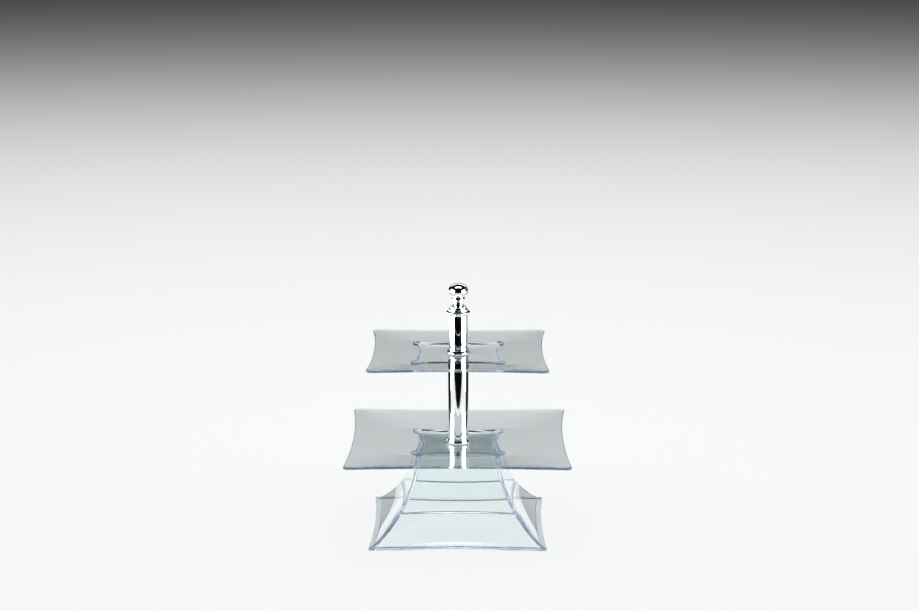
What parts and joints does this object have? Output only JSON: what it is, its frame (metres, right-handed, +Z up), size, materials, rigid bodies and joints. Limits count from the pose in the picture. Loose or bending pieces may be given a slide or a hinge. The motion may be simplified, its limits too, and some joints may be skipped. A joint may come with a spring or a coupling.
{
  "type": "tiered cake stand",
  "caption": "Square two-tier serving stand: clear trays with bowed sides on a hollow flared pedestal, joined by a bright metal post with a ball-shaped knob.",
  "frame": {"origin": "middle of the pedestal's footprint, on the table", "axes": "+Z up along the post, +X and +Y square to the trays' sides"},
  "size_m": [0.32, 0.32, 0.3614],
  "materials": {
    "clear_acrylic": "gloss",
    "clear_vinyl": "satin",
    "chrome": "polished",
    "zinc_steel": "satin",
    "brass": "satin",
    "nylon": "satin"
  },
  "bodies": {
    "base": {"pedestal_skirt": "clear_acrylic", "pedestal_neck": "clear_acrylic", "pedestal_gasket": "clear_vinyl", "lower_post_gasket": "clear_vinyl", "lower_post_tube": "chrome", "lower_post_foot_ring": "chrome", "lower_post_bottom_bush": "nylon", "lower_post_top_bush": "nylon", "upper_plate_gasket": "clear_vinyl", "upper_post_gasket": "clear_vinyl", "upper_post_tube": "chrome", "upper_post_foot_ring": "chrome", "upper_post_bottom_bush": "nylon", "upper_post_top_bush": "nylon", "upper_post_top_collar": "chrome", "tie_rod": "zinc_steel"},
    "lower_tray": {"lower_plate": "clear_acrylic"},
    "upper_tray": {"upper_plate": "clear_acrylic"},
    "finial_carrier": {"finial_thrust_washer": "nylon"},
    "finial": {"finial_knob": "chrome", "finial_insert": "brass"},
    "nut_carrier": {"nut_washer": "zinc_steel", "nut_pad": "clear_vinyl"},
    "nut": {"clamp_nut": "zinc_steel"}
  },
  "joints": [
    {"name": "lower_plate_turn", "type": "hinge", "parent": "base", "child": "lower_tray", "pos_m": [0, 0, 0.122], "axis": [0, 0, 1], "continuous": true},
    {"name": "upper_plate_turn", "type": "hinge", "parent": "base", "child": "upper_tray", "pos_m": [0, 0, 0.255], "axis": [0, 0, 1], "continuous": true},
    {"name": "finial_rise", "type": "slide", "parent": "base", "child": "finial_carrier", "axis": [0, 0, 1], "range_m": [0, 0.0101]},
    {"name": "finial_turn", "type": "hinge", "parent": "finial_carrier", "child": "finial", "pos_m": [0, 0, 0.32], "axis": [0, 0, 1], "range_deg": [0, 2880]},
    {"name": "clamp_nut_drop", "type": "slide", "parent": "base", "child": "nut_carrier", "axis": [0, 0, -1], "range_m": [0, 0.0076]},
    {"name": "clamp_nut_turn", "type": "hinge", "parent": "nut_carrier", "child": "nut", "pos_m": [0, 0, 0.107], "axis": [0, 0, -1], "range_deg": [0, 2160]}
  ],
  "couplings": [
    {"joint": "finial_rise", "follows": "finial_turn", "m_per_rad": 0.00019894},
    {"joint": "clamp_nut_drop", "follows": "clamp_nut_turn", "m_per_rad": 0.00019894}
  ]
}
